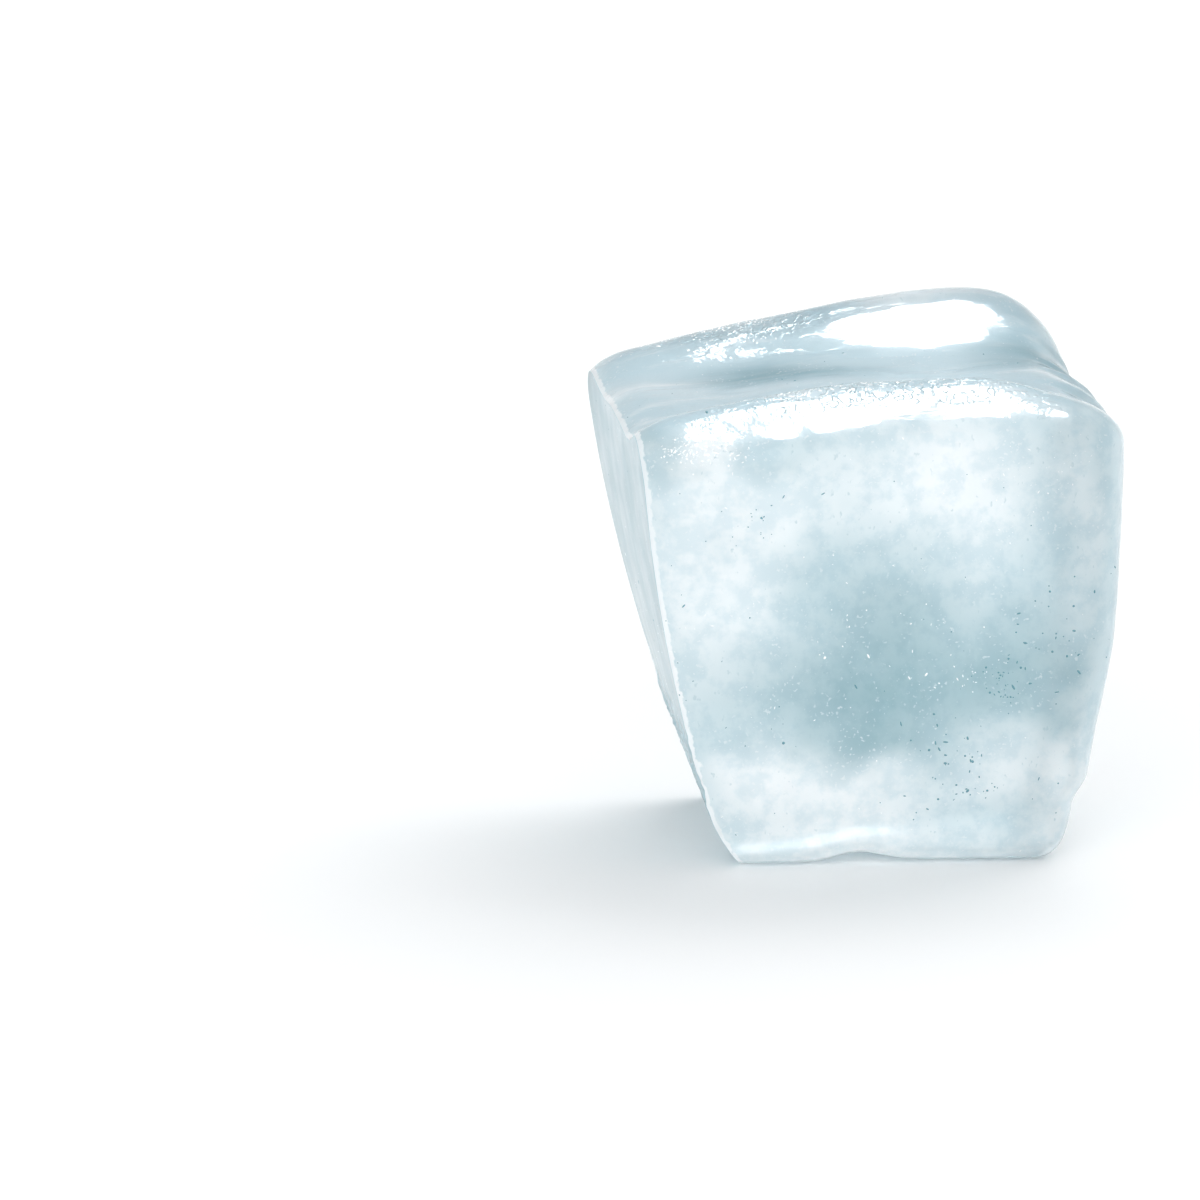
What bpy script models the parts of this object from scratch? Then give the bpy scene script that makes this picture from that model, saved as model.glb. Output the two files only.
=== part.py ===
"""Ice cube from a tapered tray well, after its edges have begun to melt.

One solid piece. It froze with its narrow end down, so the sides lean out as they rise, and the
open top swelled into a ridge along the back with a hump at its right end. The left side is a
flat face where the cube broke away from its neighbour. Sizes are in metres, +Z is up, +Y points
to the back, and the origin is the middle of the footprint, on the surface the cube stands on.
"""

from itertools import product

import bmesh
import bpy
import numpy as np

# Block
HEIGHT = 0.0349
TOP_WIDTH = 0.0372
TOP_DEPTH = 0.0320
LEAN_RUN = 0.0418
BASE_LEFT, LEFT_LEAN, LEFT_CURVE = -0.0090, 0.0098, 1.77
BASE_RIGHT, RIGHT_LEAN, RIGHT_CURVE = 0.0169, 0.0036, 2.78
FRONT_DRAFT = 0.10
BACK_DRAFT = 0.13

# The sides swell a little in the middle, and melting has left low lumps on them
FACE_SWELL = 0.0004
LUMP_HEIGHT, LUMP_SIZE = 0.0004, 0.0085
LUMP_CELLS, LUMP_SEED = 9, 11
FLAT_FOOT = 0.0040

# Rounded edges: how far each one reaches along the plan and up the side
TOP_EDGE_PLAN, TOP_EDGE_RISE = 0.0047, 0.0039
FOOT_EDGE_PLAN, FOOT_EDGE_RISE = 0.0025, 0.0015

# The back right corner is drawn in, most of all at the top
DRAWN_IN, DRAWN_IN_FROM = 0.0030, 0.0120

# Broken left face: how deep it cuts into the rounded block, and how far its top front corner
# is turned in
CLEAVED_DEPTH = 0.0015
CLEAVED_SKEW = 0.0028
CLEAVED_TUCK, CLEAVED_TUCK_TOP = 0.0011, 0.0040

# Frozen top surface
TOP_TILT = 0.068
SHOULDER_DROP = 0.0018
SHOULDER_RIGHT, SHOULDER_LEFT = 0.0010, -0.0175
SHOULDER_FRONT, SHOULDER_BACK = 0.0030, 0.0190
RIDGE_RISE, RIDGE_Y, RIDGE_SPREAD = 0.0030, 0.0275, 0.0048
RIDGE_LEFT_END, RIDGE_RUN, RIDGE_LOW_SHARE = -0.0191, 0.0143, 0.54
HUMP_RISE = 0.0023
HUMP_X, HUMP_Y = 0.0092, 0.0251
HUMP_WIDTH, HUMP_DEPTH = 0.0116, 0.0040
TROUGH_DROP, TROUGH_Y, TROUGH_SPREAD = 0.0010, 0.0090, 0.0038
RIM_RISE, RIM_Y, RIM_SPREAD = 0.0016, 0.0046, 0.0026
RIM_RIGHT, RIM_FADE = 0.0175, 0.0095
RIGHT_FALL, RIGHT_FALL_FROM, RIGHT_FALL_TO = 0.0009, 0.0110, 0.0195

# Ledges at the right end of the trough, where the ice froze in steps
LEDGE_DEPTH, LEDGE_SPACING = 0.0007, 0.0034
LEDGE_START, LEDGE_FULL = 0.0140, 0.0190
LEDGE_FRONT, LEDGE_BACK = 0.0090, 0.0245

# Foot: the front edge stands on two pads with an arch between, and the right corner is nicked
ARCH_RISE, ARCH_X, ARCH_WIDTH, ARCH_DEPTH = 0.0008, 0.0012, 0.0025, 0.0050
NICK_DEPTH, NICK_TOP, NICK_FADE = 0.0009, 0.0042, 0.0024

# A thin lip stands forward along the left part of the front foot, taller towards the right
LIP_DEPTH, LIP_FADE = 0.0005, 0.0007
LIP_LEFT, LIP_LEFT_TOP, LIP_SLOPE = -0.0082, 0.0009, 0.108
LIP_ENDS, LIP_GONE = 0.0025, 0.0055

# Mesh
CUTS_PER_EDGE = 26
EDGE_CROWDING = 0.8


def smooth_step(low, high, value):
    """0 below low, 1 above high, and an S-shaped rise between."""
    t = np.clip((value - low) / (high - low), 0.0, 1.0)
    return t * t * (3.0 - 2.0 * t)


def bell(value, centre, spread):
    """1 at the centre, falling away on both sides."""
    return np.exp(-(((value - centre) / spread) ** 2))


def crowded(unit):
    """Moves points from -1..1 towards both ends, so that the rounded edges get more of them."""
    reach = EDGE_CROWDING * np.pi / 2
    return np.sin(unit * reach) / np.sin(reach)


def rounded_block(unit):
    """A cube from -1 to 1 becomes a block with rounded edges. Returns its points, the share of half
    the block's size that each one lies from the middle, and which way its surface faces."""
    half = np.array([TOP_WIDTH, TOP_DEPTH, HEIGHT]) / 2
    point = crowded(unit) * half
    rise = (point[:, 2] / HEIGHT + 0.5)[:, None]
    plan = FOOT_EDGE_PLAN + (TOP_EDGE_PLAN - FOOT_EDGE_PLAN) * rise
    up = FOOT_EDGE_RISE + (TOP_EDGE_RISE - FOOT_EDGE_RISE) * rise
    radius = np.hstack([plan, plan, up])
    inner = np.clip(point, radius - half, half - radius)
    out = (point - inner) / radius
    out /= np.maximum(np.linalg.norm(out, axis=1, keepdims=True), 1e-9)
    block = inner + out * radius
    return block, block / half, out


def crown(x, y):
    """Height of the frozen top: a tilted plane with a back ridge, a hump, a trough and a front rim."""
    along = smooth_step(RIDGE_LEFT_END, RIDGE_LEFT_END + RIDGE_RUN, x)
    grown = RIDGE_LOW_SHARE + (1.0 - RIDGE_LOW_SHARE) * along
    ridge = RIDGE_RISE * bell(y, RIDGE_Y, RIDGE_SPREAD) * grown
    hump = HUMP_RISE * bell(x, HUMP_X, HUMP_WIDTH) * bell(y, HUMP_Y, HUMP_DEPTH)
    trough = TROUGH_DROP * bell(y, TROUGH_Y, TROUGH_SPREAD) * along
    rim = RIM_RISE * bell(y, RIM_Y, RIM_SPREAD) * smooth_step(RIM_RIGHT, RIM_RIGHT - RIM_FADE, x)
    fall = RIGHT_FALL * smooth_step(RIGHT_FALL_FROM, RIGHT_FALL_TO, x)
    shoulder = SHOULDER_DROP * smooth_step(SHOULDER_RIGHT, SHOULDER_LEFT, x)
    shoulder *= smooth_step(SHOULDER_BACK, SHOULDER_FRONT, y)
    return HEIGHT + TOP_TILT * x + ridge + hump + rim - trough - fall - shoulder - ledges(x, y)


def ledges(x, y):
    """Steps that deepen towards the right edge: each one drops slowly to the front, then breaks off."""
    step = ((y - LEDGE_FRONT) / LEDGE_SPACING) % 1.0
    inside = smooth_step(LEDGE_FRONT, LEDGE_FRONT + LEDGE_SPACING, y)
    inside *= smooth_step(LEDGE_BACK, LEDGE_BACK - LEDGE_SPACING, y)
    return LEDGE_DEPTH * step * inside * smooth_step(LEDGE_START, LEDGE_FULL, x)


def foot_lip(x, z):
    """How far the lip along the front foot stands forward."""
    top = LIP_LEFT_TOP + LIP_SLOPE * (x - LIP_LEFT)
    return LIP_DEPTH * smooth_step(top + LIP_FADE, top, z) * smooth_step(LIP_GONE, LIP_ENDS, x)


def lean(z, curve):
    """Share of a side's outward lean reached at height z: quick near the foot, upright near the top."""
    return 1.0 - np.clip(1.0 - z / LEAN_RUN, 0.0, 1.0) ** curve


def cleaved_face(y, z):
    """Where the broken left face lies. Its front edge is turned in, more so higher up, and its foot
    is tucked under."""
    turned = CLEAVED_SKEW * (1.0 - y / TOP_DEPTH) * z / HEIGHT
    tucked = CLEAVED_TUCK * np.clip(1.0 - z / CLEAVED_TUCK_TOP, 0.0, 1.0) ** 2
    return BASE_LEFT - LEFT_LEAN * lean(z, LEFT_CURVE) + turned + tucked


def lumps(point):
    """Smooth noise from -1 to 1: seeded values on a lattice, blended between the corners of each cell."""
    lattice = np.random.default_rng(LUMP_SEED).uniform(-1.0, 1.0, (LUMP_CELLS,) * 3)
    place = point / LUMP_SIZE + LUMP_CELLS / 3
    cell = np.floor(place).astype(int)
    part = smooth_step(0.0, 1.0, place - cell)
    total = np.zeros(len(point))
    for corner in product((0, 1), repeat=3):
        weight = np.where(corner, part, 1.0 - part).prod(axis=1)
        total += weight * lattice[tuple((cell + corner).T)]
    return total


def ice_surface(unit):
    """Each point of a cube from -1 to 1 moved to its place on the ice."""
    block, share, outward = rounded_block(unit)
    z = block[:, 2] + HEIGHT / 2
    front = FRONT_DRAFT * (HEIGHT - z)
    back = TOP_DEPTH - BACK_DRAFT * (HEIGHT - z)
    inward = (share[:, 1] + 1.0) / 2
    y = front * (1.0 - inward) + back * inward
    left = cleaved_face(y, z) - CLEAVED_DEPTH
    right = BASE_RIGHT + RIGHT_LEAN * lean(z, RIGHT_CURVE)
    right = right - DRAWN_IN * smooth_step(DRAWN_IN_FROM, TOP_DEPTH, y) * (z / HEIGHT)
    right = right - NICK_DEPTH * smooth_step(NICK_TOP + NICK_FADE, NICK_TOP, z)
    across = (share[:, 0] + 1.0) / 2
    x = left * (1.0 - across) + right * across
    y = y - foot_lip(x, z) * (1.0 - inward)
    z = z + (crown(x, y) - HEIGHT) * smooth_step(0.0, HEIGHT, z) ** 2
    arch = ARCH_RISE * bell(x, ARCH_X, ARCH_WIDTH)
    z = z + arch * smooth_step(front + ARCH_DEPTH, front, y) * np.clip(1.0 - z / ARCH_DEPTH, 0.0, 1.0)
    points = np.column_stack([x, y, z])
    bulge = 1.0 - share ** 2
    swell = bulge[:, 0] * abs(outward[:, 1]) + bulge[:, 1] * abs(outward[:, 0])
    swell *= FACE_SWELL * bulge[:, 2]
    swell += LUMP_HEIGHT * lumps(points) * smooth_step(0.0, FLAT_FOOT, z)
    points += outward * swell[:, None]
    points[:, 0] = np.maximum(points[:, 0], cleaved_face(points[:, 1], points[:, 2]))
    return points


def centred_on_foot(points):
    """Moves the origin to the middle of the footprint, on the surface that the cube stands on."""
    low, high = points.min(axis=0), points.max(axis=0)
    middle = (low + high) / 2
    return points - np.array([middle[0], middle[1], low[2]])


def ice_material():
    material = bpy.data.materials.new("ice")
    material.use_nodes = True
    shader = material.node_tree.nodes["Principled BSDF"]
    shader.inputs["Base Color"].default_value = (0.80, 0.91, 0.95, 1.0)
    shader.inputs["Roughness"].default_value = 0.25
    shader.inputs["Metallic"].default_value = 0.0
    shader.inputs["IOR"].default_value = 1.31
    shader.inputs["Transmission Weight"].default_value = 0.9
    return material


def make_ice_cube(collection):
    bpy.ops.mesh.primitive_cube_add(size=2.0)
    cube = bpy.context.object
    cube.name = cube.data.name = "ice_cube"
    bm = bmesh.new()
    bm.from_mesh(cube.data)
    bmesh.ops.subdivide_edges(bm, edges=bm.edges[:], cuts=CUTS_PER_EDGE, use_grid_fill=True)
    bm.to_mesh(cube.data)
    bm.free()
    unit = np.array([vertex.co for vertex in cube.data.vertices])
    points = centred_on_foot(ice_surface(unit))
    cube.data.vertices.foreach_set("co", points.ravel())
    cube.data.shade_smooth()
    cube.data.materials.append(ice_material())
    for other in list(cube.users_collection):
        other.objects.unlink(cube)
    collection.objects.link(cube)


def main():
    for thing in list(bpy.data.objects):
        bpy.data.objects.remove(thing)
    collection = bpy.data.collections.new("ice_cube")
    bpy.context.scene.collection.children.link(collection)
    make_ice_cube(collection)


main()
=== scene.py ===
"""An ice cube on a pale floor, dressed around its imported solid. Metres, +Z up, +Y to the back."""

from itertools import product

import bpy
import numpy as np
from mathutils import Matrix, Vector


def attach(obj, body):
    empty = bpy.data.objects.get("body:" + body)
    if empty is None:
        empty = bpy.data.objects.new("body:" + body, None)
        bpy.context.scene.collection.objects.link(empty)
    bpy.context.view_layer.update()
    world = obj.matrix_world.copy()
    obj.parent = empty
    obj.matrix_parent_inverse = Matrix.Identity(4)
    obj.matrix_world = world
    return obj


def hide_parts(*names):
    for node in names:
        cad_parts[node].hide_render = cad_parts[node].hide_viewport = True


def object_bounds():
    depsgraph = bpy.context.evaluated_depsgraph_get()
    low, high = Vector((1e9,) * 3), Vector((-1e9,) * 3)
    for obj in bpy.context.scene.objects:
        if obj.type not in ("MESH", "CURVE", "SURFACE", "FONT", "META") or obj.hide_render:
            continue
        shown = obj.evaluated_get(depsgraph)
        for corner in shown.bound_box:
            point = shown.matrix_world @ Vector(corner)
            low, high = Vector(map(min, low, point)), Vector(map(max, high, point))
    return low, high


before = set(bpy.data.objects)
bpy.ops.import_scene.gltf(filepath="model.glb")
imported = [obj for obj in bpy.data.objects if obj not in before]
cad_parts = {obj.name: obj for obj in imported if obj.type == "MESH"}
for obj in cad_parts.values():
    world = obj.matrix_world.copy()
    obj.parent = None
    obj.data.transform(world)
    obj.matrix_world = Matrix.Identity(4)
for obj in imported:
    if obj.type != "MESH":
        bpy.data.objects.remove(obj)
cad_low, cad_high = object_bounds()

# ---------------------------------------------------------------------------------------------
# The ice. One piece of frozen water from a tapered tray well, narrow end down, with its edges
# melted round. Its top froze last and swelled into a ridge and a hump, and its left side is the
# face where it broke away from the next cube.
# ---------------------------------------------------------------------------------------------

# The block that the rest bends, and the radii of its edges, in plan and in height.
HEIGHT, TOP_WIDTH, TOP_DEPTH = 0.0349, 0.0372, 0.0320
TOP_EDGE_PLAN, TOP_EDGE_RISE = 0.0047, 0.0039
FOOT_EDGE_PLAN, FOOT_EDGE_RISE = 0.0025, 0.0015
EDGE_CROWDING = 0.6


def smooth_step(low, high, value):
    """0 below low, 1 above high, and an S-shaped rise between."""
    t = np.clip((value - low) / (high - low), 0.0, 1.0)
    return t * t * (3.0 - 2.0 * t)


def bell(value, centre, spread):
    """1 at the centre, falling away on both sides."""
    return np.exp(-(((value - centre) / spread) ** 2))


def rounded_block(unit):
    """The block is a box drawn in by an elliptic radius at its edges: each point is its nearest point
    on the inner box plus the radius along the direction between them."""
    half = np.array([TOP_WIDTH, TOP_DEPTH, HEIGHT]) / 2
    reach = EDGE_CROWDING * np.pi / 2
    point = np.sin(unit * reach) / np.sin(reach) * half
    rise = (point[:, 2] / HEIGHT + 0.5)[:, None]
    plan = FOOT_EDGE_PLAN + (TOP_EDGE_PLAN - FOOT_EDGE_PLAN) * rise
    up = FOOT_EDGE_RISE + (TOP_EDGE_RISE - FOOT_EDGE_RISE) * rise
    radius = np.hstack([plan, plan, up])
    inner = np.clip(point, radius - half, half - radius)
    out = (point - inner) / radius
    out /= np.maximum(np.linalg.norm(out, axis=1, keepdims=True), 1e-9)
    block = inner + out * radius
    return block, block / half, out


# The top: a back ridge that rises to a hump at the right, a trough, a front rim, and stepped ledges.
TOP_TILT = 0.068
SHOULDER_DROP = 0.0018
SHOULDER_RIGHT, SHOULDER_LEFT = 0.0010, -0.0175
SHOULDER_FRONT, SHOULDER_BACK = 0.0030, 0.0190
RIDGE_RISE, RIDGE_Y, RIDGE_SPREAD = 0.0030, 0.0275, 0.0048
RIDGE_LEFT_END, RIDGE_RUN, RIDGE_LOW_SHARE = -0.0191, 0.0143, 0.54
HUMP_RISE = 0.0023
HUMP_X, HUMP_Y = 0.0092, 0.0251
HUMP_WIDTH, HUMP_DEPTH = 0.0116, 0.0040
TROUGH_DROP, TROUGH_Y, TROUGH_SPREAD = 0.0010, 0.0090, 0.0038
RIM_RISE, RIM_Y, RIM_SPREAD = 0.0016, 0.0046, 0.0026
RIM_RIGHT, RIM_FADE = 0.0175, 0.0095
RIGHT_FALL, RIGHT_FALL_FROM, RIGHT_FALL_TO = 0.0009, 0.0110, 0.0195
LEDGE_DEPTH, LEDGE_SPACING = 0.0007, 0.0034
LEDGE_START, LEDGE_FULL = 0.0140, 0.0190
LEDGE_FRONT, LEDGE_BACK = 0.0090, 0.0245


def ledges(x, y):
    """How far the right end of the top steps down: a saw-tooth over y, faded at both its ends and
    towards the left."""
    step = ((y - LEDGE_FRONT) / LEDGE_SPACING) % 1.0
    inside = smooth_step(LEDGE_FRONT, LEDGE_FRONT + LEDGE_SPACING, y)
    inside *= smooth_step(LEDGE_BACK, LEDGE_BACK - LEDGE_SPACING, y)
    return LEDGE_DEPTH * step * inside * smooth_step(LEDGE_START, LEDGE_FULL, x)


def crown(x, y):
    """Height of the top over (x, y): a tilted plane plus bells for the ridge, the hump and the rim,
    less one for the trough."""
    along = smooth_step(RIDGE_LEFT_END, RIDGE_LEFT_END + RIDGE_RUN, x)
    grown = RIDGE_LOW_SHARE + (1.0 - RIDGE_LOW_SHARE) * along
    ridge = RIDGE_RISE * bell(y, RIDGE_Y, RIDGE_SPREAD) * grown
    hump = HUMP_RISE * bell(x, HUMP_X, HUMP_WIDTH) * bell(y, HUMP_Y, HUMP_DEPTH)
    trough = TROUGH_DROP * bell(y, TROUGH_Y, TROUGH_SPREAD) * along
    rim = RIM_RISE * bell(y, RIM_Y, RIM_SPREAD) * smooth_step(RIM_RIGHT, RIM_RIGHT - RIM_FADE, x)
    fall = RIGHT_FALL * smooth_step(RIGHT_FALL_FROM, RIGHT_FALL_TO, x)
    shoulder = SHOULDER_DROP * smooth_step(SHOULDER_RIGHT, SHOULDER_LEFT, x)
    shoulder *= smooth_step(SHOULDER_BACK, SHOULDER_FRONT, y)
    return HEIGHT + TOP_TILT * x + ridge + hump + rim - trough - fall - shoulder - ledges(x, y)


# The sides: how far each leans out or in, and the broken face, which is turned, and tucked in below.
LEAN_RUN = 0.0418
BASE_LEFT, LEFT_LEAN, LEFT_CURVE = -0.0090, 0.0098, 1.77
BASE_RIGHT, RIGHT_LEAN, RIGHT_CURVE = 0.0169, 0.0036, 2.78
FRONT_DRAFT, BACK_DRAFT = 0.10, 0.13
DRAWN_IN, DRAWN_IN_FROM = 0.0030, 0.0120
CLEAVED_DEPTH, CLEAVED_SKEW = 0.0015, 0.0028
CLEAVED_TUCK, CLEAVED_TUCK_TOP = 0.0011, 0.0040


def lean(z, curve):
    """The share of a side's lean that it has at a height: a power curve, steepest at the foot."""
    return 1.0 - np.clip(1.0 - z / LEAN_RUN, 0.0, 1.0) ** curve


def cleaved_face(y, z):
    """Where the broken face lies in x: it leans out with height, turns with y, and tucks in at its
    foot."""
    turned = CLEAVED_SKEW * (1.0 - y / TOP_DEPTH) * z / HEIGHT
    tucked = CLEAVED_TUCK * np.clip(1.0 - z / CLEAVED_TUCK_TOP, 0.0, 1.0) ** 2
    return BASE_LEFT - LEFT_LEAN * lean(z, LEFT_CURVE) + turned + tucked


# The foot: a lip along its front, a shallow arch under it, and a nick low on the right.
LIP_DEPTH, LIP_FADE = 0.0005, 0.0007
LIP_LEFT, LIP_LEFT_TOP, LIP_SLOPE = -0.0082, 0.0009, 0.108
LIP_ENDS, LIP_GONE = 0.0025, 0.0055
ARCH_RISE, ARCH_X, ARCH_WIDTH, ARCH_DEPTH = 0.0008, 0.0012, 0.0025, 0.0050
NICK_DEPTH, NICK_TOP, NICK_FADE = 0.0009, 0.0042, 0.0024


def foot_lip(x, z):
    """How far the foot stands out in front: full below a line that rises to the right, and none past
    its right end."""
    top = LIP_LEFT_TOP + LIP_SLOPE * (x - LIP_LEFT)
    return LIP_DEPTH * smooth_step(top + LIP_FADE, top, z) * smooth_step(LIP_GONE, LIP_ENDS, x)


# Unevenness. Each layer of noise has its height, its size, its seed and the cells of its lattice. The
# height of the chips is a share of their depth, past which they are cut off flat.
LUMPS = (0.0004, 0.0085, 11, 9)
FROST = (0.000028, 0.0021, 21, 27)
FINE_FROST = (0.000014, 0.0021 / 2.3, 22, 61)
STREAKS = (0.00002, 0.0010, 23, 53)
CHIPS = (1.7, 0.0013, 24, 41)
TEETH = (0.00030, 0.0007, 25, 61)
FACE_SWELL, FLAT_FOOT = 0.0004, 0.0040
SOFTENED = 2
FROST_FREE_FOOT = 0.0020
STREAK_SHARE, STREAK_GAIN = 0.22, 1.6
CHIP_DEPTH, CHIP_DRAWN = 0.000006, 0.6
TEETH_MIDDLE, TEETH_REACH = 0.0072, 0.0026


def lattice_noise(point, layer):
    """Smooth noise from -1 to 1 times the layer's height: seeded values on a lattice, blended between
    each cell's corners."""
    height, size, seed, cells = layer
    lattice = np.random.default_rng(seed).uniform(-1.0, 1.0, (cells,) * 3)
    place = point / size + cells / 3
    cell = np.floor(place).astype(int)
    part = smooth_step(0.0, 1.0, place - cell)
    total = np.zeros(len(point))
    for corner in product((0, 1), repeat=3):
        weight = np.where(corner, part, 1.0 - part).prod(axis=1)
        total += weight * lattice[tuple(((cell + corner) % cells).T)]
    return height * total


def fine_relief(points, outward):
    """Melted unevenness: two sizes of noise all over, and on the top noise drawn out along X."""
    relief = lattice_noise(points, FROST) + lattice_noise(points, FINE_FROST)
    streaks = lattice_noise(points * np.array([STREAK_SHARE, 1.0, 1.0]), STREAKS)
    on_top = np.clip(outward[:, 2] * STREAK_GAIN, 0.0, 1.0)
    return (relief + streaks * on_top) * smooth_step(0.0, FROST_FREE_FOOT, points[:, 2])


def relaxed(points, quads):
    """The melted form without creases: each point drawn half way to the mean of its neighbours, a few
    times over."""
    ends = np.vstack([quads[:, [0, 1]], quads[:, [1, 2]], quads[:, [2, 3]], quads[:, [3, 0]]])
    number = np.bincount(ends.ravel(), minlength=len(points))[:, None]
    for _ in range(SOFTENED):
        total = np.zeros_like(points)
        for axis in range(3):
            total[:, axis] += np.bincount(ends[:, 0], points[ends[:, 1], axis], len(points))
            total[:, axis] += np.bincount(ends[:, 1], points[ends[:, 0], axis], len(points))
        points = points / 2 + total / number / 2
    return points


def chipping(points):
    """The roughness of the broken face: flat chips from noise that is cut off above and below, and low
    down other noise, which gives the face's edge teeth."""
    chips = lattice_noise(points * np.array([0.0, 1.0, CHIP_DRAWN]), CHIPS)
    teeth = lattice_noise(points, TEETH) * bell(points[:, 2], TEETH_MIDDLE, TEETH_REACH)
    return CHIP_DEPTH * np.clip(chips, -1.0, 1.0) + teeth


def ice_surface(unit, quads):
    """The whole surface over a cube's grids: the block leant and tapered into the well's form, its
    top raised by the crown, swelled and made uneven, and cut flat where it broke. Returned with the
    points' outward directions and their distances off the break."""
    block, share, outward = rounded_block(unit)
    z = block[:, 2] + HEIGHT / 2
    front = FRONT_DRAFT * (HEIGHT - z)
    back = TOP_DEPTH - BACK_DRAFT * (HEIGHT - z)
    inward = (share[:, 1] + 1.0) / 2
    y = front * (1.0 - inward) + back * inward
    left = cleaved_face(y, z) - CLEAVED_DEPTH
    right = BASE_RIGHT + RIGHT_LEAN * lean(z, RIGHT_CURVE)
    right = right - DRAWN_IN * smooth_step(DRAWN_IN_FROM, TOP_DEPTH, y) * (z / HEIGHT)
    right = right - NICK_DEPTH * smooth_step(NICK_TOP + NICK_FADE, NICK_TOP, z)
    across = (share[:, 0] + 1.0) / 2
    x = left * (1.0 - across) + right * across
    y = y - foot_lip(x, z) * (1.0 - inward)
    z = z + (crown(x, y) - HEIGHT) * smooth_step(0.0, HEIGHT, z) ** 2
    arch = ARCH_RISE * bell(x, ARCH_X, ARCH_WIDTH)
    z = z + arch * smooth_step(front + ARCH_DEPTH, front, y) * np.clip(1.0 - z / ARCH_DEPTH, 0.0, 1.0)
    points = np.column_stack([x, y, z])
    bulge = 1.0 - share ** 2
    swell = bulge[:, 0] * abs(outward[:, 1]) + bulge[:, 1] * abs(outward[:, 0])
    swell *= FACE_SWELL * bulge[:, 2]
    swell += lattice_noise(points, LUMPS) * smooth_step(0.0, FLAT_FOOT, z)
    points += outward * swell[:, None]
    points = relaxed(points, quads)
    points += outward * fine_relief(points, outward)[:, None]
    broken = cleaved_face(points[:, 1], points[:, 2]) + chipping(points)
    points[:, 0] = np.maximum(points[:, 0], broken)
    return points, outward, points[:, 0] - broken


def cube_grids(cells):
    """The six faces of a cube from -1 to 1, each a grid of two parameters, sewn along their edges."""
    line = np.linspace(-1.0, 1.0, cells + 1)
    points, quads = [], []
    for axis, sign in product(range(3), (-1, 1)):
        u, v = np.meshgrid(line, line, indexing="ij")
        face = np.empty((cells + 1, cells + 1, 3))
        face[..., axis] = sign
        face[..., (axis + 1) % 3] = u
        face[..., (axis + 2) % 3] = v
        index = np.arange((cells + 1) ** 2).reshape(cells + 1, cells + 1) + len(points) * (cells + 1) ** 2
        ring = [index[:-1, :-1], index[1:, :-1], index[1:, 1:], index[:-1, 1:]]
        quads.append(np.stack(ring[::sign], -1).reshape(-1, 4))
        points.append(face.reshape(-1, 3))
    every, where = np.unique(np.vstack(points).round(9), axis=0, return_inverse=True)
    return every, where.ravel()[np.vstack(quads)]


def new_mesh(name, points, faces):
    """An object made from arrays of points and of faces, which all have the same number of corners."""
    mesh = bpy.data.meshes.new(name)
    mesh.vertices.add(len(points))
    mesh.vertices.foreach_set("co", points.astype(np.float32).ravel())
    sides = faces.shape[1]
    mesh.loops.add(faces.size)
    mesh.loops.foreach_set("vertex_index", faces.astype(np.int32).ravel())
    mesh.polygons.add(len(faces))
    mesh.polygons.foreach_set("loop_start", np.arange(0, faces.size, sides, dtype=np.int32))
    mesh.update(calc_edges=True)
    mesh.validate()
    mesh.shade_smooth()
    piece = bpy.data.objects.new(name, mesh)
    bpy.context.scene.collection.objects.link(piece)
    return piece


def keep_attribute(piece, name, values):
    """A number for each of the piece's points, for its material to read."""
    layer = piece.data.attributes.new(name, "FLOAT", "POINT")
    layer.data.foreach_set("value", values.astype(np.float32))


# Patches where the ice looks or swells differently. Each row is the middle of an ellipsoid, its
# reach along the axes, and its strength. First come the clouds of trapped air on the front, the
# back and the right side, and the clear parts that lie over them, whose darker colour is also
# painted shade.
CLOUDS = [
    ((-0.0124, -0.0135, 0.0318), (0.0030, 0.0100, 0.0015), 1.0),
    ((-0.0122, -0.0140, 0.0237), (0.0075, 0.0100, 0.0140), 1.0),
    ((-0.0090, -0.0140, 0.0290), (0.0100, 0.0100, 0.0060), 0.8),
    ((0.0050, -0.0140, 0.0298), (0.0125, 0.0100, 0.0085), 0.95),
    ((0.0076, -0.0140, 0.0237), (0.0040, 0.0100, 0.0070), 0.35),
    ((-0.0060, -0.0140, 0.0262), (0.0060, 0.0100, 0.0055), 0.5),
    ((-0.0085, -0.0130, 0.0078), (0.0048, 0.0100, 0.0050), 0.7),
    ((-0.0035, -0.0130, 0.0055), (0.0140, 0.0100, 0.0060), 1.0),
    ((0.0105, -0.0130, 0.0080), (0.0060, 0.0100, 0.0045), 0.7),
    ((0.0000, -0.0120, 0.0005), (0.0260, 0.0100, 0.0050), 0.9),
    ((0.0158, -0.0130, 0.0270), (0.0032, 0.0100, 0.0150), 0.5),
    ((0.0150, -0.0130, 0.0060), (0.0040, 0.0100, 0.0080), 0.7),
    ((0.0060, 0.0140, 0.0270), (0.0130, 0.0100, 0.0110), 0.9),
    ((-0.0090, 0.0140, 0.0130), (0.0090, 0.0100, 0.0110), 0.8),
    ((-0.0100, 0.0130, 0.0300), (0.0060, 0.0100, 0.0060), 0.7),
    ((0.0000, 0.0130, 0.0030), (0.0220, 0.0120, 0.0060), 0.9),
    ((0.0180, 0.0000, 0.0250), (0.0060, 0.0110, 0.0120), 1.0),
    ((0.0155, -0.0130, 0.0115), (0.0028, 0.0100, 0.0070), 0.4),
    ((0.0170, -0.0030, 0.0050), (0.0060, 0.0140, 0.0060), 0.8),
    ((0.0175, 0.0090, 0.0150), (0.0060, 0.0050, 0.0060), 0.6),
]
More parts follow.
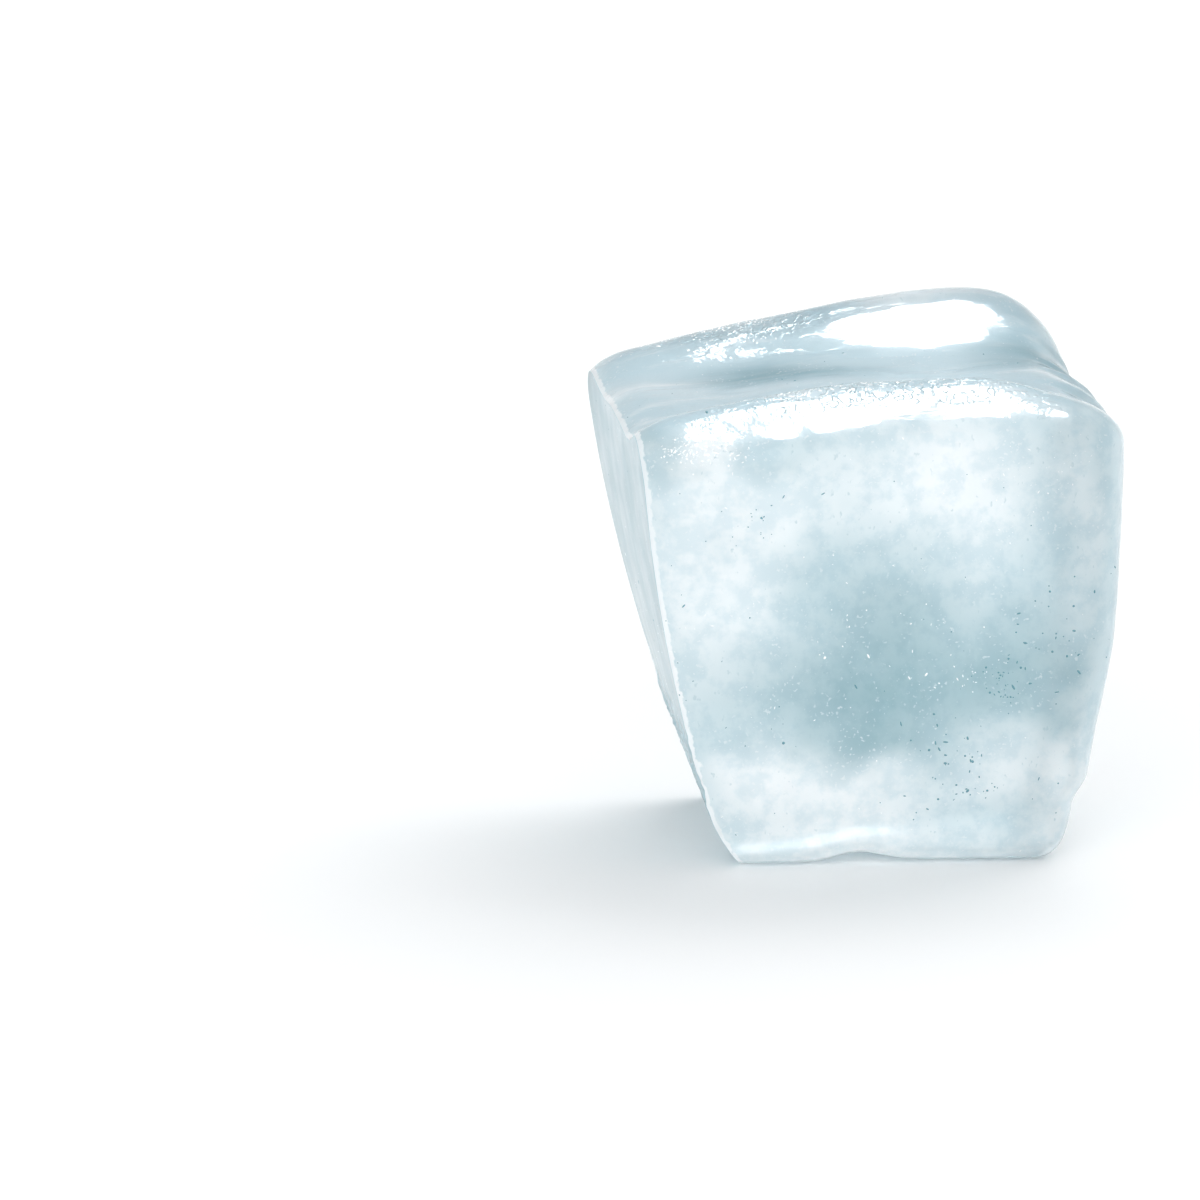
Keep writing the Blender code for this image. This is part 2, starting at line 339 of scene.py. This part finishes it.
# The clear parts are clearer ice, and their darker colour is painted shade.
CLEARINGS_AND_SHADE = [
    ((0.0005, -0.0140, 0.0130), (0.0150, 0.0120, 0.0072), 1.0),
    ((-0.0001, -0.0140, 0.0205), (0.0100, 0.0120, 0.0070), 0.4),
    ((0.0060, -0.0140, 0.0185), (0.0100, 0.0120, 0.0055), 0.4),
    ((0.0112, -0.0140, 0.0150), (0.0075, 0.0120, 0.0065), 0.6),
    ((0.0005, -0.0130, 0.0088), (0.0060, 0.0120, 0.0032), 0.5),
    ((-0.0150, -0.0130, 0.0335), (0.0040, 0.0120, 0.0060), 0.7),
    ((-0.0085, -0.0140, 0.0318), (0.0100, 0.0120, 0.0016), 0.25),
    ((0.0030, 0.0150, 0.0150), (0.0100, 0.0060, 0.0060), 0.6),
    ((0.0185, -0.0020, 0.0135), (0.0050, 0.0080, 0.0060), 0.6),
    ((-0.0030, 0.0150, 0.0330), (0.0070, 0.0060, 0.0030), 0.5),
]
# The trough's painted shade, then the white patches: on the hump a painted highlight, and below
# the left end of the front rim frost. Last, the frost that dulls them.
TROUGH_SHADE_PATCHES = [
    ((-0.0078, 0.0035, 0.0347), (0.0080, 0.0035, 0.0040), 1.0),
    ((-0.0025, 0.0015, 0.0350), (0.0085, 0.0030, 0.0040), 0.9),
    ((0.0140, 0.0035, 0.0358), (0.0072, 0.0055, 0.0050), 1.0),
]
# Of these white patches, the one on the hump is a painted highlight and the other is frost.
TOP_CLOUDS_AND_HIGHLIGHT = [
    ((-0.0124, -0.0135, 0.0318), (0.0030, 0.0100, 0.0015), 1.0),
    ((0.0050, 0.0110, 0.0400), (0.0110, 0.0060, 0.0030), 1.0),
]
FROSTED = [
    ((0.0045, 0.0130, 0.0403), (0.0085, 0.0090, 0.0030), 1.0),
    ((-0.0122, -0.0135, 0.0315), (0.0030, 0.0100, 0.0013), 0.5),
]
# Where the front bulges and sinks a little below its rim, and where beads of melt stand: along the
# rim, and on the left part of the ridge.
SWELLS = [
    ((-0.0045, -0.0150, 0.0325), (0.0075, 0.0040, 0.0019), 1.0),
    ((-0.0088, -0.0150, 0.0321), (0.0036, 0.0040, 0.0017), 0.7),
]
DENTS = [
    ((-0.0130, -0.0150, 0.0306), (0.0038, 0.0040, 0.0022), 1.0),
]
BEADED = [
    ((0.0010, -0.0122, 0.0358), (0.0200, 0.0035, 0.0030), 1.0),
    ((-0.0080, 0.0100, 0.0380), (0.0080, 0.0035, 0.0030), 1.0),
]
SWELL_HEIGHT, DENT_DEPTH = 0.00015, 0.00020
WANDER, WANDER_SIZE, WANDER_FADE = 0.0015, 0.0048, 0.6
WANDER_SEED, WANDER_CELLS, WANDER_SIZES = 61, 17, 3
TROUGH_STEADIER = 3
GRID_CELLS = 128
MILLIMETRES = 1000.0


def wandering(points):
    """Noise in three sizes along each axis, which makes the edges of the patches ragged."""
    moves = []
    for axis in range(3):
        moved = 0.0
        for n in range(WANDER_SIZES):
            seed = WANDER_SEED + WANDER_SIZES * n + axis
            layer = (WANDER_FADE ** n, WANDER_SIZE / 2 ** n, seed, WANDER_CELLS)
            moved = moved + lattice_noise(points, layer)
        moves.append(moved)
    return WANDER * np.column_stack(moves)


def patches(rows, points):
    """How much of the patches there is at each point: 1 at the middle of an ellipsoid and 0 outside it,
    times its strength, all added up."""
    total = np.zeros(len(points))
    for centre, reach, strength in rows:
        far = np.linalg.norm((points - centre) / reach, axis=1)
        total += strength * smooth_step(1.0, 0.0, far)
    return np.clip(total, 0.0, 1.0)


def fitted(points):
    """The points moved and stretched so that they fill the solid's own box."""
    low, high = points.min(axis=0), points.max(axis=0)
    return np.array(cad_low) + (points - low) * (np.array(cad_high) - np.array(cad_low)) / (high - low)


unit, quads = cube_grids(GRID_CELLS)
ice_points, outward, off_break = ice_surface(unit, quads)
ice_points = fitted(ice_points)
swell = SWELL_HEIGHT * patches(SWELLS, ice_points) - DENT_DEPTH * patches(DENTS, ice_points)
ice_points = fitted(ice_points + outward * swell[:, None])
ice = new_mesh("ice_surface", ice_points, quads)

wander = wandering(ice_points)
keep_attribute(ice, "facing_up", outward[:, 2])
keep_attribute(ice, "off_break", off_break * MILLIMETRES)
keep_attribute(ice, "cloudy", patches(CLOUDS, ice_points + wander))
# This mask of the clear parts also carries painted shade.
keep_attribute(ice, "clear_and_shade", patches(CLEARINGS_AND_SHADE, ice_points + wander))
# This mask of the trough carries painted shade.
keep_attribute(ice, "trough", patches(TROUGH_SHADE_PATCHES, ice_points + wander / TROUGH_STEADIER))
# This mask carries frost and, on the hump, a painted highlight.
keep_attribute(ice, "top_cloud_and_highlight", patches(TOP_CLOUDS_AND_HIGHLIGHT, ice_points + wander))
keep_attribute(ice, "frosted", patches(FROSTED, ice_points))
keep_attribute(ice, "beaded", patches(BEADED, ice_points))

# The ice as a material: clear, with the clouds as paler colour, a thin gloss of melt over it, and a
# blue-green depth. Its clear parts, its top and its trough are darkened as painted shade, and the hump
# is whitened as a painted highlight. Its patches come from the attributes, and its fine marks from noise.
ICE_MID = (0.63, 0.745, 0.78)
ICE_CLOUD = (1.0, 1.0, 1.0)
# The colour of the clear parts is also painted shade.
ICE_CLEAR_AND_SHADE = (0.245, 0.405, 0.445)
# The top's colour is painted shade.
ICE_TOP_SHADED = (0.50, 0.655, 0.72)
ICE_BROKEN = (0.27, 0.44, 0.50)
# The trough's colour is painted shade.
TROUGH_SHADE_COLOUR = (0.08, 0.24, 0.30)
MOTTLE_TINT = (0.80, 0.87, 0.90)
PIT_COLOUR = (0.35, 0.50, 0.55)
DEPTH_COLOUR = (0.80, 0.86, 0.885)
DEPTH_DENSITY = 4.0
ICE_IOR, MELT_IOR = 1.31, 1.5
BUMP_HEIGHT = 0.0001

ice_look = bpy.data.materials.new("ice")
ice_look.use_nodes = True
nodes, links = ice_look.node_tree.nodes, ice_look.node_tree.links
shader = nodes["Principled BSDF"]
on_object = nodes.new("ShaderNodeTexCoord").outputs["Object"]


def feed(socket, value):
    """Sets a socket to a colour or a number, or links another node's output to it."""
    if isinstance(value, tuple):
        socket.default_value = (*value, 1.0)
    elif isinstance(value, float):
        socket.default_value = value
    else:
        links.new(value, socket)


def blend(first, second, share, way="MIX"):
    """One colour laid over another by a mask."""
    mix = nodes.new("ShaderNodeMix")
    mix.data_type = "RGBA"
    mix.blend_type = way
    feed(mix.inputs["Factor"], share)
    feed(mix.inputs["A"], first)
    feed(mix.inputs["B"], second)
    return mix.outputs["Result"]


def ramp(value, low, high, start, end):
    """A value moved smoothly from the range low to high into the range start to end."""
    node = nodes.new("ShaderNodeMapRange")
    node.interpolation_type = "SMOOTHSTEP"
    feed(node.inputs["Value"], value)
    feed(node.inputs["From Min"], low)
    feed(node.inputs["From Max"], high)
    feed(node.inputs["To Min"], start)
    feed(node.inputs["To Max"], end)
    return node.outputs["Result"]


def noise(scale, detail, rough, stretch=(1.0, 1.0, 1.0)):
    """Noise with scale marks to a metre, drawn out along an axis where its stretch is under 1."""
    mapping = nodes.new("ShaderNodeMapping")
    mapping.inputs["Scale"].default_value = stretch
    node = nodes.new("ShaderNodeTexNoise")
    feed(node.inputs["Scale"], scale)
    feed(node.inputs["Detail"], detail)
    feed(node.inputs["Roughness"], rough)
    links.new(on_object, mapping.inputs["Vector"])
    links.new(mapping.outputs["Vector"], node.inputs["Vector"])
    return node.outputs["Fac"]


def combined(first, second, operation="ADD"):
    """Two values added together, or put together by another of Blender's operations."""
    node = nodes.new("ShaderNodeMath")
    node.operation = operation
    feed(node.inputs[0], first)
    feed(node.inputs[1], second)
    return node.outputs[0]


def multiplied(*values):
    """Several values multiplied together."""
    result = values[0]
    for value in values[1:]:
        result = combined(result, value, "MULTIPLY")
    return result


def attribute(name):
    """One of the numbers that the mesh keeps for each point."""
    node = nodes.new("ShaderNodeAttribute")
    node.attribute_name = name
    return node.outputs["Fac"]


# Colour all over: clouds, clear parts over them whose darker colour is painted shade, and fine mottling.
up = attribute("facing_up")
off_break = attribute("off_break")
uneven = noise(480.0, 4.0, 0.62)
cloudy = blend(ICE_MID, ICE_CLOUD, attribute("cloudy"))
tinted = blend(cloudy, ICE_CLEAR_AND_SHADE, attribute("clear_and_shade"))
mottle = ramp(uneven, 0.40, 0.62, 0.0, 1.0)
mottled = blend(tinted, blend(tinted, MOTTLE_TINT, 1.0, "MULTIPLY"), mottle)

# The top: a darker colour where the faces look up, which is painted shade, with frost drawn out along X;
# the trough darkest in layers of painted shade; and its white patches, frost at the rim's left end and a
# painted highlight on the hump.
drawn_frost = ramp(noise(500.0, 5.0, 0.6, (0.2, 1.0, 1.0)), 0.5, 0.75, 0.0, 0.6)
on_top = ramp(up, 0.75, 0.97, 0.0, 1.0)
topped = blend(mottled, blend(ICE_TOP_SHADED, ICE_CLOUD, drawn_frost), on_top)
layered_shade = ramp(noise(500.0, 3.0, 0.5, (0.12, 1.0, 1.0)), 0.35, 0.60, 0.70, 1.0)
trough_shaded = blend(topped, TROUGH_SHADE_COLOUR, multiplied(attribute("trough"), layered_shade))
capped = blend(trough_shaded, ICE_CLOUD, attribute("top_cloud_and_highlight"))

# The broken side: clearer ice within a white, chipped rim.
near_break = ramp(off_break, 0.0, 0.9, 1.0, 0.0)
chipped = combined(near_break, combined(noise(1300.0, 3.0, 0.6), 0.5, "SUBTRACT"))
rimmed = blend(capped, ICE_CLOUD, ramp(chipped, 0.55, 0.75, 0.0, 1.0))
broken_mottle = ramp(noise(200.0, 4.0, 0.55), 0.30, 0.75, 0.0, 0.8)
on_break = ramp(off_break, 0.01, 0.06, 1.0, 0.0)
broken = blend(rimmed, blend(ICE_BROKEN, ICE_MID, broken_mottle), on_break)

# Fine marks: seeds of air in the paler mottling, and pits in the rest.
clumps = ramp(uneven, 0.45, 0.62, 0.0, 1.0)
seeds = multiplied(ramp(noise(3600.0, 1.0, 0.5), 0.62, 0.72, 0.0, 0.45), clumps)
specked = blend(broken, ICE_CLOUD, seeds)
pit_marks = ramp(noise(3100.0, 1.0, 0.5, (1.0, 1.0, 0.6)), 0.66, 0.74, 0.0, 0.5)
pits = multiplied(pit_marks, ramp(uneven, 0.38, 0.50, 1.0, 0.0))
links.new(blend(specked, PIT_COLOUR, pits), shader.inputs["Base Color"])

# Gloss: a body a little rough under a smooth coat of melt, which is thin on the broken side. The
# roughness stays above 0.28, because below about 0.27 the render's denoiser takes the ice for a
# mirror and draws a line where that begins.
roughness = combined(ramp(up, 0.2, 0.7, 0.36, 0.30), multiplied(attribute("frosted"), 0.50))
links.new(roughness, shader.inputs["Roughness"])
links.new(ramp(off_break, 0.01, 0.10, 0.35, 1.0), shader.inputs["Coat Weight"])
shader.inputs["Metallic"].default_value = 0.0
shader.inputs["IOR"].default_value = ICE_IOR
shader.inputs["Transmission Weight"].default_value = 0.65
shader.inputs["Coat Roughness"].default_value = 0.05
shader.inputs["Coat IOR"].default_value = MELT_IOR

# Fine relief, in shares of BUMP_HEIGHT: grain, beads of melt, and scratches drawn out along X. The
# broken side has none.
grain = noise(1500.0, 2.0, 0.6)
bead_zone = attribute("beaded")
bead_cells = ramp(noise(2300.0, 0.0, 0.5), 0.48, 0.66, 0.0, 1.0)
bead_gaps = ramp(noise(900.0, 2.0, 0.5), 0.38, 0.50, 0.0, 1.0)
beads = multiplied(bead_cells, bead_zone, ramp(up, 0.74, 0.82, 0.0, 1.0), bead_gaps)
scratch = ramp(noise(1100.0, 2.0, 0.4, (0.07, 1.0, 1.0)), 0.60, 0.66, 0.0, 1.0)
relief = multiplied(grain, ramp(up, 0.0, 0.5, 0.08, 0.16))
relief = combined(relief, beads)
relief = combined(relief, multiplied(scratch, ramp(up, 0.55, 0.68, 0.0, 0.08), -1.0))
relief = combined(relief, multiplied(scratch, bead_zone, -0.45))
relief = multiplied(relief, ramp(off_break, 0.02, 0.30, 0.0, 1.0))
bump = nodes.new("ShaderNodeBump")
bump.inputs["Strength"].default_value = 1.0
bump.inputs["Distance"].default_value = BUMP_HEIGHT
links.new(relief, bump.inputs["Height"])
links.new(bump.outputs["Normal"], shader.inputs["Normal"])
links.new(bump.outputs["Normal"], shader.inputs["Coat Normal"])

depth = nodes.new("ShaderNodeVolumeAbsorption")
depth.inputs["Color"].default_value = (*DEPTH_COLOUR, 1.0)
depth.inputs["Density"].default_value = DEPTH_DENSITY
links.new(depth.outputs["Volume"], nodes["Material Output"].inputs["Volume"])
ice.data.materials.append(ice_look)
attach(ice, "root")
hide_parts("ice_cube")

# ---------------------------------------------------------------------------------------------
# The air in the ice. Bubbles a tenth of a millimetre across, which the freezing pushed out of the
# water and trapped at its surface. Their colour is painted light: those that catch the light are
# white as painted glints, and those that don't are dark as painted shade.
# ---------------------------------------------------------------------------------------------

# Each swarm is a number of bubbles, its middle, its spread along the axes, and their usual radius.
# The white swarms along the front rim and on the back ridge are painted glints at the highlights' edges.
WHITE_SWARMS = [
    (60, (0.0010, -0.0145, 0.0175), (0.0120, 0.0040, 0.0075), 0.000052),
    (16, (0.0074, -0.0145, 0.0143), (0.0016, 0.0040, 0.0006), 0.000042),
    (330, (-0.0124, -0.0130, 0.0318), (0.0021, 0.0040, 0.0010), 0.000040),
    (260, (-0.0095, 0.0110, 0.0385), (0.0055, 0.0025, 0.0020), 0.000055),
    (90, (-0.0055, -0.0124, 0.0356), (0.0032, 0.0007, 0.0007), 0.000055),
    (90, (0.0005, -0.0123, 0.0361), (0.0032, 0.0007, 0.0007), 0.000055),
    (70, (0.0060, -0.0125, 0.0365), (0.0030, 0.0007, 0.0007), 0.000050),
    (60, (0.0130, -0.0145, 0.0290), (0.0030, 0.0040, 0.0040), 0.000038),
    (420, (0.0000, 0.0000, 0.0180), (0.0300, 0.0300, 0.0300), 0.000032),
]
DARK_SWARMS = [
    (34, (0.0128, -0.0150, 0.0173), (0.0030, 0.0040, 0.0030), 0.000073),
    (40, (0.0099, -0.0150, 0.0140), (0.0011, 0.0040, 0.0014), 0.000055),
    (30, (0.0069, -0.0150, 0.0090), (0.0024, 0.0040, 0.0018), 0.000071),
    (26, (0.0080, -0.0150, 0.0055), (0.0040, 0.0040, 0.0010), 0.000061),
    (20, (-0.0085, -0.0150, 0.0270), (0.0022, 0.0040, 0.0014), 0.000049),
    (20, (-0.0090, -0.0150, 0.0120), (0.0060, 0.0040, 0.0040), 0.000049),
    (160, (0.0000, 0.0040, 0.0180), (0.0300, 0.0300, 0.0300), 0.000051),
]
BALL_SIDES, BALL_ROWS = 7, 4
# None lies below FOOT_FREE. The higher LONG_RARITY is, the fewer are long. FLATTENED is their height
# as a share of their radius, and SUNK is how far their middles lie in the ice, as a share of it too.
FOOT_FREE = 0.0008
SIZE_SPREAD = 0.35
LONG_RARITY = 4
FLATTENED, SUNK = 0.6, 0.25


def small_ball():
    """A sphere over an angle round its axis and an angle down from its pole, with one point at each
    pole."""
    down = np.linspace(0.0, np.pi, BALL_ROWS + 1)[1:-1, None]
    turn = np.linspace(0.0, 2.0 * np.pi, BALL_SIDES, endpoint=False)[None, :]
    level = np.cos(down) + 0.0 * turn
    rings = np.stack([np.sin(down) * np.cos(turn), np.sin(down) * np.sin(turn), level], -1)
    points = np.vstack([[[0.0, 0.0, 1.0]], rings.reshape(-1, 3), [[0.0, 0.0, -1.0]]])
    index = 1 + np.arange((BALL_ROWS - 1) * BALL_SIDES).reshape(BALL_ROWS - 1, BALL_SIDES)
    onward = np.roll(index, -1, axis=1)
    upper = np.stack([index[:-1], index[1:], onward[1:]], -1)
    lower = np.stack([index[:-1], onward[1:], onward[:-1]], -1)
    top = np.stack([0 * index[0], index[0], onward[0]], -1)
    bottom = np.stack([0 * index[-1] + len(points) - 1, onward[-1], index[-1]], -1)
    return points, np.vstack([upper.reshape(-1, 3), lower.reshape(-1, 3), top, bottom])


def swarm_of_bubbles(swarms, seed, longest):
    """Balls stretched and set into random places on the ice. A place is drawn from the mesh's faces,
    weighted by a bell about each swarm's middle."""
    rng = np.random.default_rng(seed)
    ball, faces = small_ball()
    corners = ice_points[quads]
    middle = corners.mean(axis=1)
    normal = np.cross(corners[:, 2] - corners[:, 0], corners[:, 3] - corners[:, 1])
    area = np.linalg.norm(normal, axis=1)
    normal /= np.maximum(area, 1e-20)[:, None]
    points = []
    for count, centre, spread, size in swarms:
        near = np.exp(-(((middle - centre) / spread) ** 2).sum(axis=1))
        weight = area * near * (middle[:, 2] > FOOT_FREE)
        chosen = rng.choice(len(quads), count, p=weight / weight.sum())
        share = rng.random((count, 2, 1))
        low_side = corners[chosen, 0] * (1 - share[:, 0]) + corners[chosen, 1] * share[:, 0]
        high_side = corners[chosen, 3] * (1 - share[:, 0]) + corners[chosen, 2] * share[:, 0]
        place = low_side * (1 - share[:, 1]) + high_side * share[:, 1]
        out = normal[chosen]
        along = rng.normal(size=(count, 3))
        along -= out * (along * out).sum(axis=1, keepdims=True)
        along /= np.linalg.norm(along, axis=1, keepdims=True)
        across = np.cross(out, along)
        radius = size * rng.lognormal(0.0, SIZE_SPREAD, count)[:, None, None]
        stretch = 1.0 + (longest - 1.0) * rng.random((count, 1, 1)) ** LONG_RARITY
        form = np.concatenate([stretch, np.ones_like(stretch), np.full_like(stretch, FLATTENED)], axis=2)
        axes = np.stack([along, across, out], axis=1)
        shaped = np.einsum("nkc,ncd->nkd", ball[None] * form * radius, axes)
        points.append(shaped + place[:, None] - SUNK * radius * out[:, None])
    every = np.concatenate(points)
    start = np.arange(len(every))[:, None, None] * len(ball)
    placed = np.clip(every.reshape(-1, 3), cad_low, cad_high)
    return placed, (faces[None] + start).reshape(-1, 3)


def bubble_look(name, colour):
    """The skin of the bubbles: smooth, in a painted tone that stands for the ice's light on them: a white
    glint or a dark shade.
    """
    look = bpy.data.materials.new(name)
    look.use_nodes = True
    skin = look.node_tree.nodes["Principled BSDF"]
    skin.inputs["Base Color"].default_value = (*colour, 1.0)
    skin.inputs["Roughness"].default_value = 0.2
    skin.inputs["IOR"].default_value = ICE_IOR
    return look


# White bubbles are painted glints, and dark ones painted shade.
for name, swarms, seed, longest, colour in (
    ("glinting_bubbles", WHITE_SWARMS, 31, 3.6, (1.0, 1.0, 1.0)),
    ("shaded_bubbles", DARK_SWARMS, 32, 3.5, (0.16, 0.32, 0.37)),
):
    bubbles = new_mesh(name, *swarm_of_bubbles(swarms, seed, longest))
    bubbles.data.materials.append(bubble_look(name, colour))
    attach(bubbles, "root")

# ---------------------------------------------------------------------------------------------
# The stage. A pale matt floor under a white sky that greys upwards, with soft lamps above, behind
# and in front. Some lamps only show as highlights, and the others only light the ice and the floor.
# ---------------------------------------------------------------------------------------------

FLOOR_WIDTH, FLOOR_DROP = 20.0, 0.0001
FLOOR_GREY = (0.83, 0.83, 0.83)
SKY_LOW, SKY_HIGH = (1.0, 1.0, 1.0), (0.60, 0.62, 0.635)
SKY_RISE = 0.55
SKY_STRENGTH = 1.05

bpy.ops.mesh.primitive_plane_add(size=FLOOR_WIDTH, location=(0.0, 0.0, -FLOOR_DROP))
floor = bpy.context.object
floor.name = "floor"
floor_look = bpy.data.materials.new("floor")
floor_look.use_nodes = True
floor_paint = floor_look.node_tree.nodes["Principled BSDF"]
floor_paint.inputs["Base Color"].default_value = (*FLOOR_GREY, 1.0)
floor_paint.inputs["Roughness"].default_value = 0.5
floor_paint.inputs["Specular IOR Level"].default_value = 0.0
floor.data.materials.append(floor_look)

world = bpy.data.worlds.new("studio")
bpy.context.scene.world = world
world.use_nodes = True
sky_nodes, sky_links = world.node_tree.nodes, world.node_tree.links
direction = sky_nodes.new("ShaderNodeTexCoord")
split = sky_nodes.new("ShaderNodeSeparateXYZ")
rise = sky_nodes.new("ShaderNodeMapRange")
rise.interpolation_type = "SMOOTHSTEP"
rise.inputs["From Min"].default_value = 0.0
rise.inputs["From Max"].default_value = SKY_RISE
sky = sky_nodes.new("ShaderNodeMix")
sky.data_type = "RGBA"
sky.inputs["A"].default_value = (*SKY_LOW, 1.0)
sky.inputs["B"].default_value = (*SKY_HIGH, 1.0)
sky_links.new(direction.outputs["Generated"], split.inputs["Vector"])
sky_links.new(split.outputs["Z"], rise.inputs["Value"])
sky_links.new(rise.outputs["Result"], sky.inputs["Factor"])
sky_links.new(sky.outputs["Result"], sky_nodes["Background"].inputs["Color"])
sky_nodes["Background"].inputs["Strength"].default_value = SKY_STRENGTH


def facing(place, way):
    """A place and a turn in one matrix, with -Z along the way."""
    return Matrix.Translation(place) @ way.to_track_quat("-Z", "Y").to_matrix().to_4x4()


def soft_light(name, place, aim, width, depth, radiance, gloss):
    """A flat rectangular lamp that shines evenly. It either shows only in reflections or only lights."""
    lamp = bpy.data.lights.new(name, "AREA")
    lamp.shape = "RECTANGLE"
    lamp.size, lamp.size_y = width, depth
    lamp.energy = radiance * np.pi * width * depth
    piece = bpy.data.objects.new(name, lamp)
    bpy.context.scene.collection.objects.link(piece)
    piece.matrix_world = facing(Vector(place), Vector(aim) - Vector(place))
    piece.visible_camera = False
    piece.visible_glossy = gloss
    piece.visible_diffuse = not gloss
    piece.visible_transmission = not gloss


soft_light("overhead_softbox", (0.00, -0.036, 0.84), (0.00, -0.036, 0.0), 0.34, 0.355, 26.0, True)
soft_light("side_softbox", (0.215, -0.030, 0.84), (0.215, -0.030, 0.0), 0.09, 0.200, 26.0, True)
soft_light("front_softbox", (-0.015, -0.286, 0.84), (-0.015, -0.286, 0.0), 0.27, 0.145, 26.0, True)
soft_light("strip_light", (-0.114, 0.393, 0.84), (0.0, 0.0, 0.03), 0.028, 0.107, 16.0, True)
soft_light("back_softbox", (0.50, 0.80, 1.10), (0.0, 0.0, 0.0), 1.4, 1.2, 2.6, False)
soft_light("front_fill", (-0.30, -1.50, 0.80), (0.0, 0.0, 0.0), 1.6, 1.0, 3.3, False)

# The camera looks slightly down at the front, and frames the cube to the right of the middle.
AZIMUTH, ELEVATION, DISTANCE = np.radians(-3.3), np.radians(11.0), 0.400
AIM = Vector((-0.01995, -0.01400, 0.02070))
SENSOR_WIDTH = 36.0
FRAME_PIXELS, PIXELS_TO_A_METRE = 1200, 13600
back = Vector((np.sin(AZIMUTH) * np.cos(ELEVATION), -np.cos(AZIMUTH) * np.cos(ELEVATION), np.sin(ELEVATION)))
lens = bpy.data.cameras.new("camera")
lens.sensor_width = SENSOR_WIDTH
lens.lens = SENSOR_WIDTH * DISTANCE / (FRAME_PIXELS / PIXELS_TO_A_METRE)
lens.clip_start = 0.01
camera = bpy.data.objects.new("camera", lens)
bpy.context.scene.collection.objects.link(camera)
camera.matrix_world = facing(AIM + back * DISTANCE, -back)
bpy.context.scene.camera = camera
bpy.context.scene.view_settings.view_transform = "Standard"
